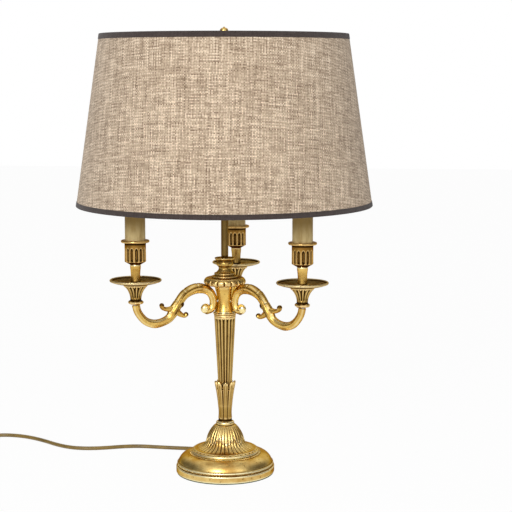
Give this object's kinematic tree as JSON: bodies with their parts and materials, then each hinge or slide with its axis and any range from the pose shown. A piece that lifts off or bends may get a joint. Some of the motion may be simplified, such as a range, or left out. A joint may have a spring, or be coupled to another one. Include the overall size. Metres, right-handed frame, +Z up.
{
  "type": "bouillotte lamp",
  "caption": "Table lamp with a fluted gilt column on a round base, scrolled candle arms with drip pans, and a tapered linen drum shade on an adjustable central rod.",
  "frame": {"origin": "centre of the base at table level", "axes": "+Z up the column; +Y along the back arm; the cord leaves the back of the base towards -X"},
  "size_m": [0.6916, 0.4, 0.609],
  "materials": {
    "gilt_metal": "aged gilt with bright rubbed edges and brown recesses",
    "antique_brass": "satin, lightly tarnished",
    "plain_steel": "zinc plated",
    "iron_ballast": "rough cast",
    "felt": "dense wool felt",
    "candle_plastic": "cream, like wax",
    "holder_plastic": "moulded, matt",
    "bulb_glass": "clear",
    "bulb_brass": "plated screw cap",
    "shade_linen": "coarse slubbed linen",
    "shade_liner": "smooth laminate",
    "dark_tape": "brown bias tape",
    "frame_wire": "coated wire",
    "gold_cord": "translucent gold sheath",
    "wire_sheath": "smooth",
    "switch_plastic": "moulded, gold brown"
  },
  "bodies": {
    "lamp": {"arm_1": "gilt_metal", "arm_2": "gilt_metal", "arm_3": "gilt_metal", "arm_fixings": "plain_steel", "arm_hub": "gilt_metal", "arm_wires": "wire_sheath", "ballast_ring": "iron_ballast", "base_dome": "gilt_metal", "base_foot": "gilt_metal", "candle_cup_1": "gilt_metal", "candle_cup_2": "gilt_metal", "candle_cup_3": "gilt_metal", "candle_sleeve_1": "candle_plastic", "candle_sleeve_2": "candle_plastic", "candle_sleeve_3": "candle_plastic", "cap_crown": "gilt_metal", "cord_coil": "gold_cord", "cord_relief": "switch_plastic", "cord_to_coil": "gold_cord", "cord_to_switch": "gold_cord", "cup_stem_1": "gilt_metal", "cup_stem_2": "gilt_metal", "cup_stem_3": "gilt_metal", "drip_pan_1": "gilt_metal", "drip_pan_2": "gilt_metal", "drip_pan_3": "gilt_metal", "felt_pad": "felt", "fluted_shaft": "gilt_metal", "inner_cord": "gold_cord", "lamp_holders": "holder_plastic", "leaf_cup": "gilt_metal", "lobed_cap": "gilt_metal", "plug_body": "switch_plastic", "plug_pins": "plain_steel", "ribbed_cup_1": "gilt_metal", "ribbed_cup_2": "gilt_metal", "ribbed_cup_3": "gilt_metal", "rod_dish": "gilt_metal", "shade_rod": "antique_brass", "shaft_collar": "gilt_metal", "switch_base": "switch_plastic", "switch_cover": "switch_plastic", "tie_nuts": "plain_steel", "tie_tube": "plain_steel"},
    "carrier": {"shade_carrier": "antique_brass"},
    "shade": {"spider_ring": "frame_wire", "bottom_wire": "frame_wire", "shade_liner": "shade_liner", "shade_fabric": "shade_linen", "bottom_trim": "dark_tape", "top_trim": "dark_tape"},
    "thumb_screw": {"thumb_screw": "antique_brass"},
    "finial": {"finial": "antique_brass"},
    "rocker": {"switch_rocker": "switch_plastic"},
    "bulb_1": {"bulb_cap_1": "bulb_brass", "bulb_glass_1": "bulb_glass"},
    "bulb_2": {"bulb_cap_2": "bulb_brass", "bulb_glass_2": "bulb_glass"},
    "bulb_3": {"bulb_cap_3": "bulb_brass", "bulb_glass_3": "bulb_glass"}
  },
  "joints": [
    {"name": "shade_height", "type": "slide", "parent": "lamp", "child": "carrier", "axis": [0, 0, 1], "range_m": [-0.07, 0]},
    {"name": "shade_turn", "type": "hinge", "parent": "carrier", "child": "shade", "pos_m": [0, 0, 0.592], "axis": [0, 0, 1], "continuous": true},
    {"name": "thumb_screw_turn", "type": "hinge", "parent": "carrier", "child": "thumb_screw", "pos_m": [0, 0, 0.5819], "axis": [0.866, 0.5, 0], "range_deg": [0, 720]},
    {"name": "finial_turn", "type": "hinge", "parent": "lamp", "child": "finial", "pos_m": [0, 0, 0.6], "axis": [0, 0, 1], "range_deg": [0, 1800]},
    {"name": "bulb_1_turn", "type": "hinge", "parent": "lamp", "child": "bulb_1", "pos_m": [0, 0.128, 0.4], "axis": [0, 0, 1], "range_deg": [0, 1260]},
    {"name": "bulb_2_turn", "type": "hinge", "parent": "lamp", "child": "bulb_2", "pos_m": [-0.11085, -0.064, 0.4], "axis": [0, 0, 1], "range_deg": [0, 1260]},
    {"name": "bulb_3_turn", "type": "hinge", "parent": "lamp", "child": "bulb_3", "pos_m": [0.11085, -0.064, 0.4], "axis": [0, 0, 1], "range_deg": [0, 1260]},
    {"name": "switch_rock", "type": "hinge", "parent": "lamp", "child": "rocker", "pos_m": [-0.394, 0.036, 0.0114], "axis": [1, 0, 0], "range_deg": [0, 16]}
  ]
}
